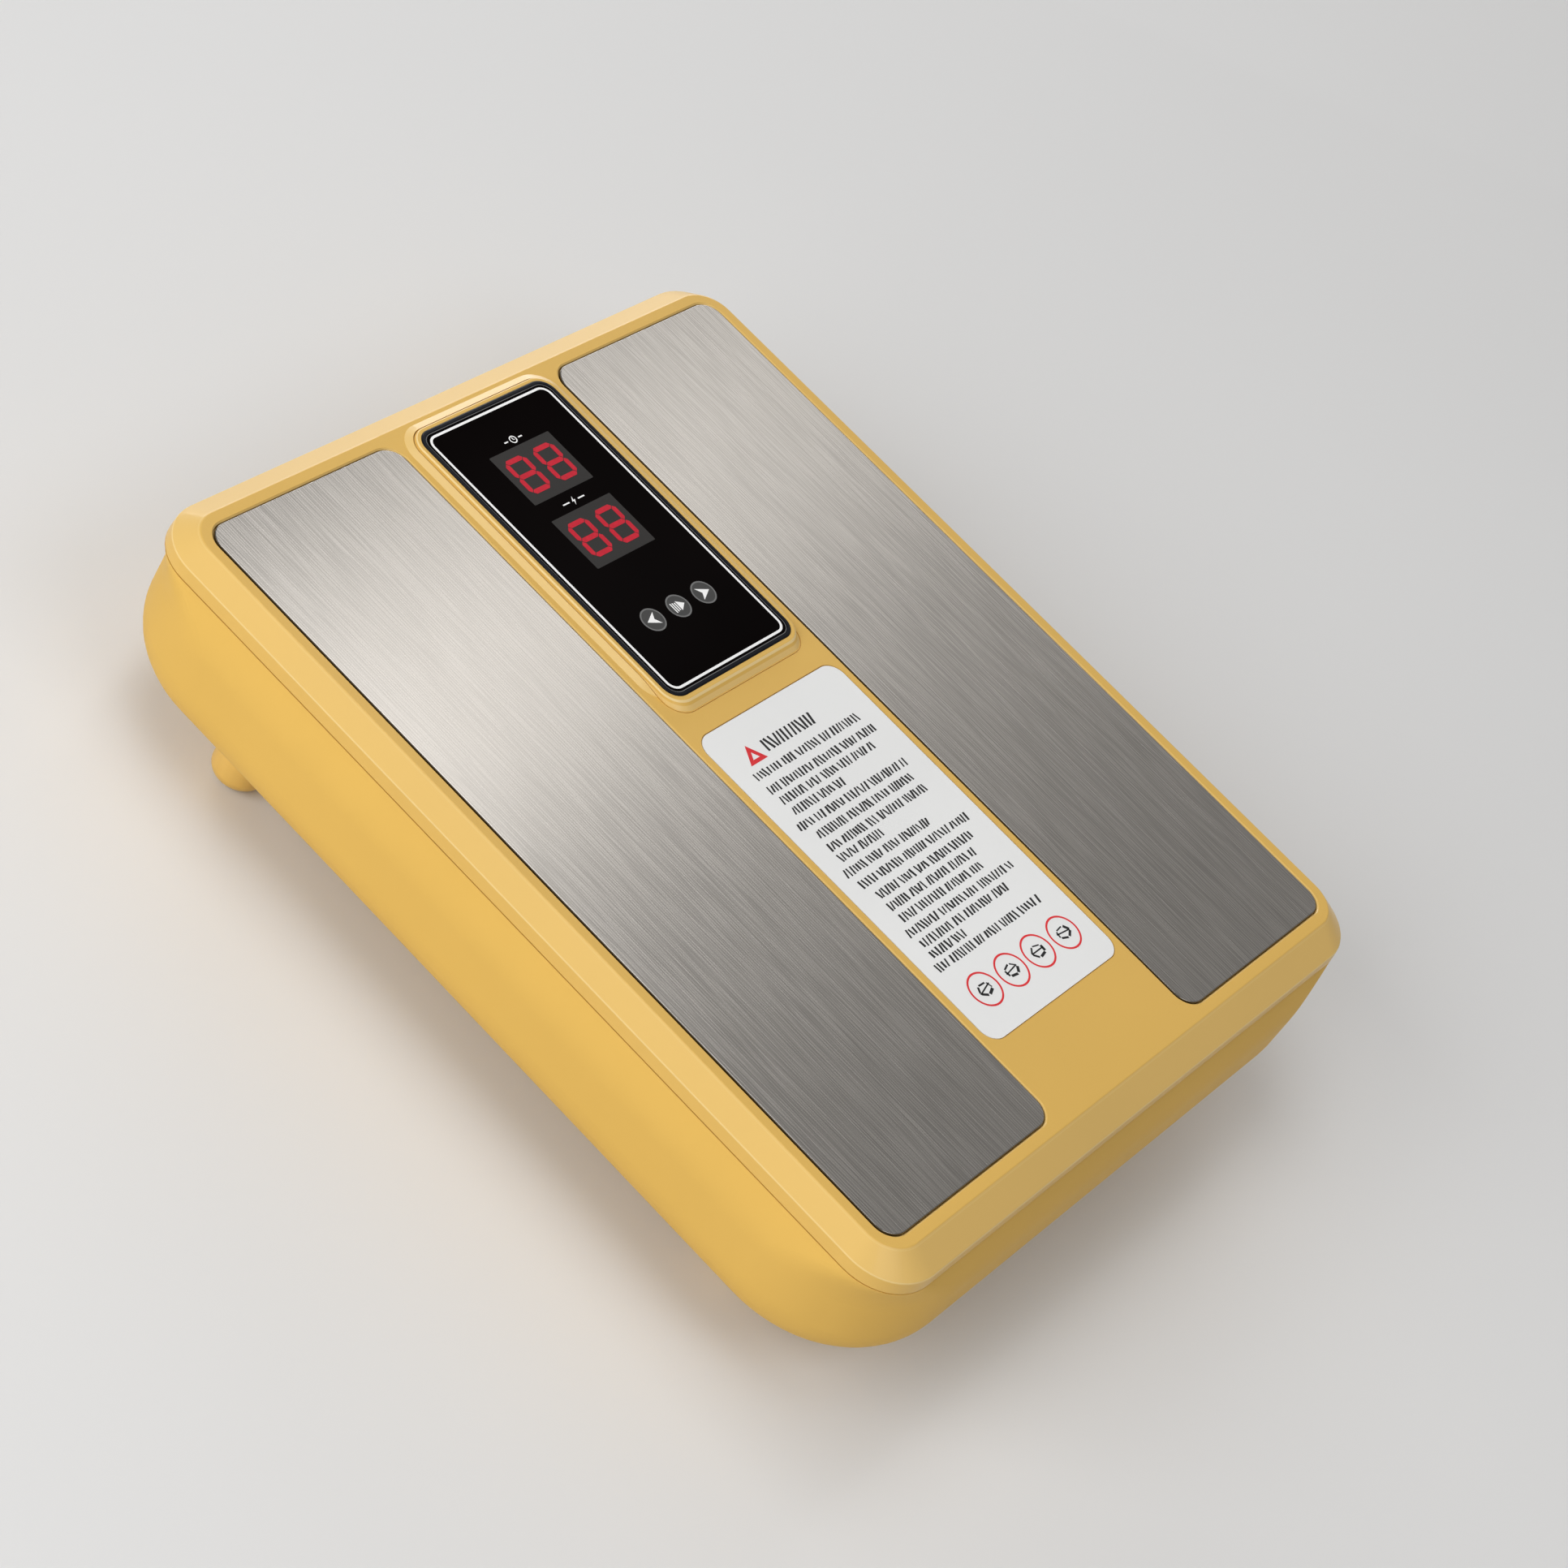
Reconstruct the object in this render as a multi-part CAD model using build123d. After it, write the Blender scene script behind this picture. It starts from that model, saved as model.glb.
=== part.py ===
from build123d import *
import math
import os

# Foot therapy appliance: gold casing, two steel foot plates, glass display.
# Millimetres. +Z is up, +Y points to the rear (toe end), the floor is z = 0.
# The origin lies on the floor, below the middle of the casing's outline.

# ---------------------------------------------------------------- casing
body_w = 274.4            # cover width over its outer crease
body_l = 326.4            # cover length over its outer crease
body_corner_r = 19.5      # corner radius of the cover outline
foot_h = 22.0             # floor to underside of the tub
tub_h = 46.0              # underside to the seam
skirt_h = 4.4             # upright band of the cover above the seam
chamfer_h = 6.0           # height of the sloping edge band
side_inset = 6.2          # sloping band width at the sides
front_inset = 9.7         # sloping band width at the front
rear_inset = 8.3          # sloping band width at the rear
deck_corner_r = 11.5      # corner radius where the band meets the deck
seam_gap = 0.5            # open parting line between tub and cover
skirt_draft = 0.4         # the skirt is this much wider at the seam
crease_r = 0.8            # rounding of the two creases
wall = 2.8                # shell thickness
deck_t = 4.5              # deck thickness
bulge = 4.8               # how far the tub swells beyond the seam
bulge_drop = 14.0         # height of the swelling below the seam
bulge_corner_r = 45.0     # corner radius at the widest outline
under_r = 17.0            # rounding into the underside
lip_h = 3.0               # tub tongue standing inside the cover
lip_t = 1.6               # tongue thickness
fit_gap = 0.3             # gap between mating mouldings

# ---------------------------------------------------------------- deck items
strip_w = 80.0            # deck strip between the two plate pockets
plate_w = 86.0            # foot plate width
plate_l = 299.0           # foot plate length
plate_t = 1.2             # foot plate thickness
plate_corner_r = 7.0      # foot plate corner radius
plate_gap = 0.5           # gap round each foot plate
pad_t = 0.8               # insulating pad below each plate
pad_inset = 2.0           # pad edge inside the plate edge
pocket_lip = 0.5          # small chamfer at the pocket mouth
stud_r = 2.0              # welded stud radius
stud_l = 8.0              # stud length below the plate
stud_dx = 33.0            # studs from the plate centre, across
stud_dy = 125.0           # studs from the plate centre, along
nut_af = 7.0              # nut across flats
nut_h = 3.2               # nut height
thread_gap = 0.05         # radial room between screw and hole

glass_w = 65.6            # display over its gasket, across
glass_l = 122.0           # display over its gasket, along
glass_front_y = 26.6      # front edge of the display
glass_corner_r = 6.0      # outer corner radius of the gasket
gasket_w = 1.4            # gasket width
gasket_rise = 0.3         # gasket top above the glass
glass_t = 2.4             # glass thickness
riser_h = 2.2             # bezel height above the deck
riser_rim = 1.5           # bezel rim round the gasket
riser_front = 3.6         # extra length of the bezel's sloping front
riser_side = 0.4          # extra width of the bezel's foot at the sides
apron_w = 3.4             # width of the sloping apron round the bezel
apron_h = 1.2             # height of its upper edge above the deck
apron_run = 7.0           # length over which it dies into the deck at the front
groove_w = 0.35           # width of the groove round the bezel's foot
groove_depth = 0.4        # its depth below the deck
window_w = 50.0           # opening below the glass, across
window_inset = 12.0       # its ends inside the ends of the display

label_w = 73.6            # label width
label_l = 133.0           # label length
label_t = 0.8             # label thickness
label_depth = 0.9         # depth of its recess
label_gap = 0.35          # gap round the label
label_corner_r = 6.0      # label corner radius
label_y = -53.8           # label centre

# ---------------------------------------------------------------- display parts
led_w = 30.0              # read-out module width
led_l = 22.0              # read-out module length
led_h = 8.0               # read-out module height
time_led_share = 0.757    # centre of the upper module, as a share of the display length
energy_led_share = 0.515  # centre of the lower module, likewise
key_share = 0.226         # centre line of the touch keys, likewise
key_pitch = 13.3          # spacing of the touch keys
key_r = 4.7               # radius of each sensor pad
board_t = 1.6             # circuit board thickness
display_board_w = 64.0    # display board width
display_board_inset = 3.0  # ends of the display board inside the display
display_post_x = 28.5     # display board posts from the centre, across
display_post_inset = 4.0  # posts from the ends of the board

# ---------------------------------------------------------------- coils
coil_w = 66.0             # coil width
coil_l = 196.0            # coil length
coil_band = 14.0          # width of the wound band
coil_t = 4.6              # coil thickness
tray_w = 76.0             # tray width
tray_l = 214.0            # tray length
tray_floor = 1.8          # tray floor thickness

# ---------------------------------------------------------------- fixings
post_x = 128.0            # cover posts from the centre
post_ys = (-120.0, -40.0, 40.0, 120.0)
post_r = 4.5              # cover post radius
tower_r = 5.0             # tub tower radius
cover_screw_r = 1.75      # cover screw shank radius
cover_head_r = 3.0        # cover screw head radius
cover_head_h = 2.4        # cover screw head height
head_room = 0.5           # radial room round a screw head
tower_shelf_z = 44.0      # shelf the cover screw heads pull against
tower_top_z = 56.0        # top of the towers
small_screw_r = 1.45      # board, panel and fan screw shank radius
small_head_r = 2.8        # their head radius
small_head_h = 2.0        # their head height

# ---------------------------------------------------------------- feet
foot_r = 9.5              # foot radius
foot_round = 4.5          # rounding of the lower end
pad_r = 4.6               # rubber pad radius
foot_pad_t = 2.0          # rubber pad thickness
foot_pad_proud = 0.8      # how far the pad stands out of the foot
rear_foot_x = 115.0
rear_foot_y = 108.0
front_foot_x = 104.0
front_foot_y = -112.0
foot_boss_r = 5.0         # boss inside the tub above each foot
foot_boss_h = 9.0

# ---------------------------------------------------------------- boards
standoff_h = 6.0          # board height above the tub floor
standoff_r = 3.5
main_w = 150.0
main_l = 90.0
main_y = -70.0
power_w = 92.0
power_l = 84.0
power_x = 64.0
power_y = 62.0
hole_inset = 6.0          # board screw holes from the board edges

# ---------------------------------------------------------------- fan
fan_size = 60.0
fan_h = 15.0
fan_x = -75.0
fan_y = 66.0
fan_hole_pitch = 50.0
fan_bore_r = 28.5
fan_boss_h = 3.0
blade_gap = 1.0
blade_count = 7
hub_r = 12.5
shaft_r = 1.5
bearing_gap = 0.03
vent_w = 3.6              # width of the vent slots
vent_pitch = 8.0

# ---------------------------------------------------------------- rear panel
niche_w = 126.0
niche_h = 29.0
niche_y = 155.0           # flat face at the bottom of the niche
niche_z = 49.0            # centre height of the niche
niche_wall = 2.5
panel_t = 2.0
panel_gap = 0.8
back_window_w = 108.0
back_window_h = 21.0
panel_screw_x = 58.0
inlet_x = 28.0
inlet_w = 27.0
inlet_h = 19.5
inlet_depth = 20.0
flange_w = 50.0
flange_h = 23.0
flange_t = 2.5
socket_w = 24.4
socket_h = 16.6
socket_depth = 16.5
pin_tip = 4.5             # pins end this far below the mouth
pin_w = 4.0
pin_t = 2.0
pin_pitch = 7.0
inlet_screw_pitch = 40.0
switch_x = -10.0
switch_w = 13.0
switch_l = 19.2
switch_depth = 16.0
switch_bezel = 1.6
rocker_w = 9.4
rocker_half = 7.4
rocker_room = 0.6
rocker_tilt = 10.0        # tilt either side of the middle
rocker_pin_r = 1.2
fuse_x = -38.0
fuse_body_r = 6.0
fuse_flange_r = 8.5
fuse_bore_r = 4.6
fuse_stem_r = 4.5
fuse_knob_r = 6.0
fuse_r = 2.6
fuse_l = 20.0

# ---------------------------------------------------------------- derived
under_z = foot_h
floor_z = under_z + wall
seam_z = under_z + tub_h
tub_top_z = seam_z - seam_gap
crease_z = seam_z + skirt_h
deck_z = crease_z + chamfer_h
roof_z = deck_z - deck_t
deck_w = body_w - 2 * side_inset
deck_l = body_l - front_inset - rear_inset
deck_y = (front_inset - rear_inset) / 2
pocket_depth = plate_t + pad_t
pocket_w = plate_w + 2 * plate_gap
pocket_l = plate_l + 2 * plate_gap
plate_x = (strip_w + pocket_w) / 2
glass_y = glass_front_y + glass_l / 2
time_led_y = glass_front_y + time_led_share * glass_l
energy_led_y = glass_front_y + energy_led_share * glass_l
key_y = glass_front_y + key_share * glass_l
window_l = glass_l - 2 * window_inset
display_board_l = glass_l - 2 * display_board_inset
display_post_y = display_board_l / 2 - display_post_inset
riser_top_w = glass_w + 2 * riser_rim
riser_top_l = glass_l + 2 * riser_rim
riser_base_w = riser_top_w + 2 * riser_side
riser_base_l = riser_top_l + riser_front + riser_side
riser_base_y = glass_y - (riser_front - riser_side) / 2
riser_r = glass_corner_r + riser_rim
glass_top_z = deck_z + riser_h
glass_z = glass_top_z - glass_t
display_board_z = glass_z - 0.1 - led_h - board_t
board_z = floor_z + standoff_h
panel_face_y = niche_y + panel_t
lower = (Align.CENTER, Align.CENTER, Align.MIN)


# ---------------------------------------------------------------- helpers
def outline(w, l, r, z, x=0.0, y=0.0):
    """Rounded rectangle lying at height z."""
    return Pos(x, y, z) * RectangleRounded(w, l, r)


def slab(w, l, r, h, z, x=0.0, y=0.0):
    """Rounded plate of height h standing on z."""
    return extrude(outline(w, l, r, z, x, y), amount=h)


def rod(r, z0, z1, x=0.0, y=0.0):
    """Upright cylinder from z0 to z1."""
    return Pos(x, y, z0) * Cylinder(r, z1 - z0, align=lower)


def rod_y(r, y0, y1, x, z):
    """Cylinder along Y from y0 to y1."""
    return Pos(x, y0, z) * Rot(-90, 0, 0) * Cylinder(r, y1 - y0, align=lower)


def block(x0, x1, y0, y1, z0, z1):
    """Box between two corners."""
    middle = Pos((x0 + x1) / 2, (y0 + y1) / 2, (z0 + z1) / 2)
    return middle * Box(x1 - x0, y1 - y0, z1 - z0)


def group(shapes):
    """Separate solids kept together as one compound."""
    solids = []
    for shape in shapes:
        solids.extend(shape.solids())
    return Compound(children=solids)


def screw(head_r, head_h, shank_r, z_seat, z_tip, x, y):
    """Screw along Z: the head lies on z_seat, away from the tip."""
    if z_tip > z_seat:
        head = rod(head_r, z_seat - head_h, z_seat, x, y)
        shank = rod(shank_r, z_seat, z_tip, x, y)
        slot = block(x - head_r, x + head_r, y - 0.4, y + 0.4,
                     z_seat - head_h - 0.1, z_seat - head_h + 0.8)
    else:
        head = rod(head_r, z_seat, z_seat + head_h, x, y)
        shank = rod(shank_r, z_tip, z_seat, x, y)
        slot = block(x - head_r, x + head_r, y - 0.4, y + 0.4,
                     z_seat + head_h - 0.8, z_seat + head_h + 0.1)
    return head + shank - slot


def screw_y(head_r, head_h, shank_r, y_seat, y_tip, x, z):
    """Screw along Y: the head lies on y_seat and faces the rear."""
    head = rod_y(head_r, y_seat, y_seat + head_h, x, z)
    shank = rod_y(shank_r, y_tip, y_seat, x, z)
    slot = block(x - head_r, x + head_r, y_seat + head_h - 0.8,
                 y_seat + head_h + 0.1, z - 0.4, z + 0.4)
    return head + shank - slot


def wire(points, r):
    """Round wire through a list of points."""
    result = None
    for i in range(len(points) - 1):
        start = Vector(*points[i])
        end = Vector(*points[i + 1])
        run = end - start
        seat = Plane(origin=start, z_dir=run)
        piece = seat * Cylinder(r, run.length, align=lower)
        result = piece if result is None else result + piece
        if i > 0:
            result = result + Pos(*points[i]) * Sphere(r)
    return result


def ribbon(points, width, t):
    """Flat cable in the YZ plane through (y, z) points."""
    result = None
    for i in range(len(points) - 1):
        y0, z0 = points[i]
        y1, z1 = points[i + 1]
        length = math.hypot(y1 - y0, z1 - z0)
        angle = math.degrees(math.atan2(z1 - z0, y1 - y0))
        seat = Pos(0, (y0 + y1) / 2, (z0 + z1) / 2) * Rot(angle, 0, 0)
        piece = seat * Box(width, length + t, t)
        result = piece if result is None else result + piece
    return result


def corners(cx, cy, dx, dy):
    """Four points of a rectangle about a centre."""
    return [(cx + sx * dx, cy + sy * dy) for sx in (-1, 1) for sy in (-1, 1)]


# ---------------------------------------------------------------- casing
def tub_form(inset):
    """Outside of the tub, or its inside when inset by the wall."""
    steps = 4
    sections = []
    for i in range(steps + 1):
        t = i / steps
        swell = skirt_draft + bulge * math.sin(t * math.pi / 2) - inset
        r = body_corner_r + (bulge_corner_r - body_corner_r) * math.sin(t * math.pi / 2)
        z = tub_top_z - t * bulge_drop
        sections.append(outline(body_w + 2 * swell, body_l + 2 * swell, r - inset, z))
    upper = loft(sections)
    out = skirt_draft + bulge - inset
    base_z = under_z + inset
    flat = outline(body_w + 2 * out, body_l + 2 * out, bulge_corner_r - inset, base_z)
    under = extrude(flat, amount=tub_top_z - bulge_drop - base_z)
    under = fillet(under.edges().group_by(Axis.Z)[0], under_r - inset)
    return under + upper


def cover_form():
    """Outside of the cover: skirt, sloping band and deck."""
    low = outline(body_w + 2 * skirt_draft, body_l + 2 * skirt_draft, body_corner_r, seam_z)
    crease = outline(body_w, body_l, body_corner_r, crease_z)
    deck = outline(deck_w, deck_l, deck_corner_r, deck_z, 0, deck_y)
    skirt = loft([low, crease], ruled=True)
    band = loft([crease, deck], ruled=True)
    return skirt + band


def round_creases(form):
    """Soften the two creases of the cover."""
    for z in (deck_z, crease_z):
        edges = [e for e in form.edges() if abs(e.center().Z - z) < 0.01]
        edges = [e for e in edges if e.bounding_box().size.Z < 0.01]
        form = fillet(edges, crease_r)
    return form


def riser_form():
    """Raised bezel that carries the display glass."""
    base = outline(riser_base_w, riser_base_l, riser_r + riser_side, deck_z - 0.2,
                   0, riser_base_y)
    top = outline(riser_top_w, riser_top_l, riser_r, glass_top_z, 0, glass_y)
    form = loft([base, top], ruled=True)
    rim = [e for e in form.edges() if abs(e.center().Z - glass_top_z) < 0.01]
    return fillet(rim, 0.6)


def apron_form():
    """Sloping apron that leads up to the bezel at the sides and the rear."""
    front = glass_front_y
    rear = riser_base_y + riser_base_l / 2 + apron_w
    high_front = front + apron_run
    high_rear = rear - apron_w
    low = outline(riser_base_w + 2 * apron_w, rear - front, riser_r + apron_w,
                  deck_z - 0.2, 0, (rear + front) / 2)
    high = outline(riser_base_w, high_rear - high_front, riser_r,
                   deck_z + apron_h, 0, (high_rear + high_front) / 2)
    return loft([low, high], ruled=True)


def groove_form():
    """Ring cut round the bezel's foot."""
    outer = slab(riser_base_w + 2 * groove_w, riser_base_l + 2 * groove_w,
                 riser_r + riser_side + groove_w, groove_depth + 3,
                 deck_z - groove_depth, 0, riser_base_y)
    inner = slab(riser_base_w, riser_base_l, riser_r + riser_side, groove_depth + 5,
                 deck_z - groove_depth - 1, 0, riser_base_y)
    return outer - inner


def stud_points(side):
    return corners(side * plate_x, deck_y, stud_dx, stud_dy)


post_points = [(side * post_x, y) for side in (-1, 1) for y in post_ys]
display_points = corners(0, glass_y, display_post_x, display_post_y)
tray_points = [(side * plate_x + sx * (tray_w / 2 - 4), deck_y + sy * 102.0)
               for side in (-1, 1) for sx in (-1, 1) for sy in (-1, 1)]
main_points = corners(0, main_y, main_w / 2 - hole_inset, main_l / 2 - hole_inset)
power_points = corners(power_x, power_y, power_w / 2 - hole_inset, power_l / 2 - hole_inset)
fan_points = corners(fan_x, fan_y, fan_hole_pitch / 2, fan_hole_pitch / 2)
foot_points = [(side * rear_foot_x, rear_foot_y) for side in (-1, 1)]
foot_points += [(side * front_foot_x, front_foot_y) for side in (-1, 1)]

cover = round_creases(cover_form())
inner_w = body_w - 2 * wall
inner_l = body_l - 2 * wall
inner_r = body_corner_r - wall
cavity = slab(inner_w, inner_l, inner_r, crease_z - seam_z + 1, seam_z - 1)
upper_inset = wall + 2.4
cavity_top = outline(body_w - 2 * upper_inset, body_l - 2 * upper_inset,
                     body_corner_r - upper_inset, roof_z)
cavity += loft([outline(inner_w, inner_l, inner_r, crease_z), cavity_top], ruled=True)
cover -= cavity
cover += apron_form()
cover += riser_form()
cover -= groove_form()
for side in (-1, 1):
    x = side * plate_x
    cover -= slab(pocket_w, pocket_l, plate_corner_r + plate_gap, pocket_depth + 1,
                  deck_z - pocket_depth, x, deck_y)
    mouth = outline(pocket_w + 2 * pocket_lip, pocket_l + 2 * pocket_lip,
                    plate_corner_r + plate_gap + pocket_lip, deck_z, x, deck_y)
    throat = outline(pocket_w, pocket_l, plate_corner_r + plate_gap,
                     deck_z - pocket_lip, x, deck_y)
    cover -= loft([throat, mouth], ruled=True)
    for px, py in stud_points(side):
        cover -= rod(stud_r + 0.3, roof_z - 1, deck_z, px, py)
cover -= slab(glass_w + 0.1, glass_l + 0.1, glass_corner_r + 0.05, glass_t + 1,
              glass_z, 0, glass_y)
cover -= slab(window_w, window_l, 3, deck_t + riser_h, roof_z - 1, 0, glass_y)
cover -= slab(label_w + 2 * label_gap, label_l + 2 * label_gap, label_corner_r + label_gap,
              label_depth + 1, deck_z - label_depth, 0, label_y)
for px, py in post_points:
    cover += rod(post_r, tower_top_z + 0.2, roof_z + 0.5, px, py)
    cover -= rod(cover_screw_r + thread_gap, tower_top_z, roof_z - 4, px, py)
for px, py in display_points:
    cover += rod(3.0, display_board_z + board_t, roof_z + 0.5, px, py)
    cover -= rod(small_screw_r + thread_gap, display_board_z, roof_z + 0.4, px, py)
for px, py in tray_points:
    cover -= rod(small_screw_r + thread_gap, roof_z - 1, roof_z + 1.6, px, py)

tub_outside = tub_form(0)
tub = tub_outside - tub_form(wall)
tub -= slab(body_w - 2 * wall, body_l - 2 * wall, body_corner_r - wall, 2, tub_top_z - 1)
lip_w = inner_w - 2 * fit_gap
lip_l = inner_l - 2 * fit_gap
lip_r = inner_r - fit_gap
lip_low = tub_top_z - 4.0
lip_ring = slab(lip_w, lip_l, lip_r, tub_top_z + lip_h - lip_low, lip_low)
lip_ring += slab(body_w - 2.4, body_l - 2.4, body_corner_r - 1.2, 3.0, lip_low)
lip_hole = slab(lip_w - 2 * lip_t, lip_l - 2 * lip_t, lip_r - lip_t, lip_h + 8, lip_low - 1)
tub += lip_ring - lip_hole
niche_low = niche_z - niche_h / 2
niche_high = niche_z + niche_h / 2
niche_box = block(-niche_w / 2 - niche_wall, niche_w / 2 + niche_wall,
                  niche_y - niche_wall, body_l / 2 + 20,
                  niche_low - niche_wall, niche_high + niche_wall)
tub += niche_box & tub_outside
for side in (-1, 1):
    tub += rod_y(4.0, niche_y - niche_wall - 6, niche_y - niche_wall + 1,
                 side * panel_screw_x, niche_z)
tub -= block(-niche_w / 2, niche_w / 2, niche_y, body_l / 2 + 20, niche_low, niche_high)
tub -= block(-back_window_w / 2, back_window_w / 2, niche_y - 10, niche_y + 1,
             niche_z - back_window_h / 2, niche_z + back_window_h / 2)
for side in (-1, 1):
    tub -= rod_y(small_screw_r + thread_gap, niche_y - 8, niche_y + 1,
                 side * panel_screw_x, niche_z)
for px, py in post_points:
    tower = rod(tower_r, under_z + 1, tower_top_z, px, py)
    tub += tower & tub_outside
    tub -= rod(cover_head_r + head_room, under_z - 1, tower_shelf_z, px, py)
    tub -= rod(cover_screw_r + 0.3, under_z, tower_top_z + 1, px, py)
for px, py in foot_points:
    tub += rod(foot_boss_r, floor_z - 0.5, floor_z + foot_boss_h, px, py)
    tub -= rod(small_screw_r + thread_gap, under_z - 1, floor_z + foot_boss_h - 1, px, py)
for px, py in main_points + power_points:
    tub += rod(standoff_r, floor_z - 0.5, board_z, px, py)
    tub -= rod(small_screw_r + thread_gap, floor_z, board_z + 1, px, py)
for px, py in fan_points:
    tub += rod(4.0, floor_z - 0.5, floor_z + fan_boss_h, px, py)
    tub -= rod(small_screw_r + thread_gap, floor_z - 1, floor_z + fan_boss_h + 1, px, py)
for i in range(-3, 4):
    dy = i * vent_pitch
    half = math.sqrt(fan_bore_r ** 2 - dy ** 2) - 3
    slot = slab(2 * half, vent_w, vent_w / 2 - 0.01, wall + 2, under_z - 1, fan_x, fan_y + dy)
    tub -= slot
for i in range(-4, 5):
    slot = slab(54, vent_w, vent_w / 2 - 0.01, wall + 2, under_z - 1, 0, main_y + i * vent_pitch)
    tub -= slot

# ---------------------------------------------------------------- plates and deck items
plates = {}
pads = {}
for name, side in (("left", -1), ("right", 1)):
    x = side * plate_x
    plate_z = deck_z - plate_t
    plate = slab(plate_w, plate_l, plate_corner_r, plate_t, plate_z, x, deck_y)
    plate = fillet(plate.edges().group_by(Axis.Z)[-1], 0.4)
    pad = slab(plate_w - 2 * pad_inset, plate_l - 2 * pad_inset, plate_corner_r - pad_inset,
               pad_t, plate_z - pad_t, x, deck_y)
    for px, py in stud_points(side):
        plate += rod(stud_r, plate_z - stud_l, plate_z + 0.2, px, py)
        pad -= rod(stud_r + 0.3, plate_z - pad_t - 1, plate_z + 1, px, py)
    plates[name] = plate
    pads[name] = pad

nut_form = extrude(RegularPolygon(nut_af / 2, 6, major_radius=False), amount=nut_h)
nut_form -= Pos(0, 0, -1) * Cylinder(stud_r + thread_gap, nut_h + 2, align=lower)
nuts = [Pos(px, py, roof_z - nut_h) * nut_form
        for side in (-1, 1) for px, py in stud_points(side)]

gasket = slab(glass_w, glass_l, glass_corner_r, glass_t + gasket_rise, glass_z, 0, glass_y)
gasket = fillet(gasket.edges().group_by(Axis.Z)[-1], 0.6)
gasket -= slab(glass_w - 2 * gasket_w, glass_l - 2 * gasket_w, glass_corner_r - gasket_w,
               glass_t + 2, glass_z - 1, 0, glass_y)
glass_in = gasket_w + 0.05
glass = slab(glass_w - 2 * glass_in, glass_l - 2 * glass_in, glass_corner_r - glass_in,
             glass_t, glass_z, 0, glass_y)
label = slab(label_w, label_l, label_corner_r, label_t, deck_z - label_depth, 0, label_y)

# ---------------------------------------------------------------- display parts
display_board = slab(display_board_w, display_board_l, 2, board_t, display_board_z, 0, glass_y)
for px, py in display_points:
    display_board -= rod(small_screw_r + 0.2, display_board_z - 1,
                         display_board_z + board_t + 1, px, py)
display_screws = [screw(small_head_r, small_head_h, small_screw_r, display_board_z,
                        roof_z, px, py) for px, py in display_points]
board_top = display_board_z + board_t
led_modules = {}
for name, y in (("time", time_led_y), ("energy", energy_led_y)):
    module = block(-led_w / 2, led_w / 2, y - led_l / 2, y + led_l / 2, board_top,
                   board_top + led_h)
    led_modules[name] = module
sensors = []
for i in (-1, 0, 1):
    pad_post = rod(1.5, board_top, glass_z - 0.6, i * key_pitch, key_y)
    pad_post += rod(key_r, glass_z - 0.7, glass_z, i * key_pitch, key_y)
    sensors.append(pad_post)
display_chip = block(-7, 7, 65.0, 75.0, display_board_z - 1.8, display_board_z)

# ---------------------------------------------------------------- coils
tray_top = roof_z
coil_z = tray_top - coil_t - 0.3
tray_z = coil_z - tray_floor - 0.1
coils = {}
trays = {}
for name, side in (("left", -1), ("right", 1)):
    x = side * plate_x
    seat = Pos(x, deck_y, coil_z)
    ring = extrude(RectangleRounded(coil_w, coil_l, 30), amount=coil_t)
    ring -= Pos(0, 0, -1) * extrude(
        RectangleRounded(coil_w - 2 * coil_band, coil_l - 2 * coil_band, 30 - coil_band),
        amount=coil_t + 2)
    coils[name] = seat * ring
    tray = slab(tray_w, tray_l, 6, tray_top - tray_z, tray_z, x, deck_y)
    groove = Pos(x, deck_y, coil_z - 0.1) * (
        extrude(RectangleRounded(coil_w + 0.6, coil_l + 0.6, 30.3), amount=coil_t + 2)
        - extrude(RectangleRounded(coil_w - 2 * coil_band - 0.6,
                                   coil_l - 2 * coil_band - 0.6, 29.7 - coil_band),
                  amount=coil_t + 2))
    tray -= groove
    trays[name] = tray
for px, py in tray_points:
    name = "left" if px < 0 else "right"
    trays[name] -= rod(small_screw_r + 0.2, tray_z - 1, tray_top + 1, px, py)
tray_screws = [screw(small_head_r, small_head_h, small_screw_r, tray_z, roof_z + 1.4, px, py)
               for px, py in tray_points]

# ---------------------------------------------------------------- boards
main_board = slab(main_w, main_l, 2, board_t, board_z, 0, main_y)
for px, py in main_points:
    main_board -= rod(small_screw_r + 0.2, board_z - 1, board_z + board_t + 1, px, py)
power_board = slab(power_w, power_l, 2, board_t, board_z, power_x, power_y)
for px, py in power_points:
    power_board -= rod(small_screw_r + 0.2, board_z - 1, board_z + board_t + 1, px, py)
part_z = board_z + board_t
board_screws = [screw(small_head_r, small_head_h, small_screw_r, part_z, floor_z + 0.5, px, py)
                for px, py in main_points + power_points]
heatsink = block(-60, -8, -78, -73, part_z, part_z + 22)
for i in range(8):
    fin_x = -59 + i * 7
    heatsink += block(fin_x, fin_x + 1.6, -73.5, -58, part_z, part_z + 22)
transistors = [block(x - 5, x + 5, -82.6, -78, part_z + 3, part_z + 18)
               + block(x - 3.5, x + 3.5, -81.0, -80.2, part_z, part_z + 3.5)
               for x in (-48, -20)]
capacitors = [rod(6.0, part_z, part_z + 16, x, -48) for x in (18, 36)]
capacitors = [fillet(c.edges().group_by(Axis.Z)[-1], 0.8) for c in capacitors]
controller = block(4, 18, -94, -80, part_z, part_z + 1.8)
core_x = 52.0
core = block(core_x - 16, core_x + 16, power_y - 14, power_y + 14, part_z, part_z + 24)
core -= block(core_x - 11, core_x - 6, power_y - 15, power_y + 15, part_z + 5, part_z + 19)
core -= block(core_x + 6, core_x + 11, power_y - 15, power_y + 15, part_z + 5, part_z + 19)
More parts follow.
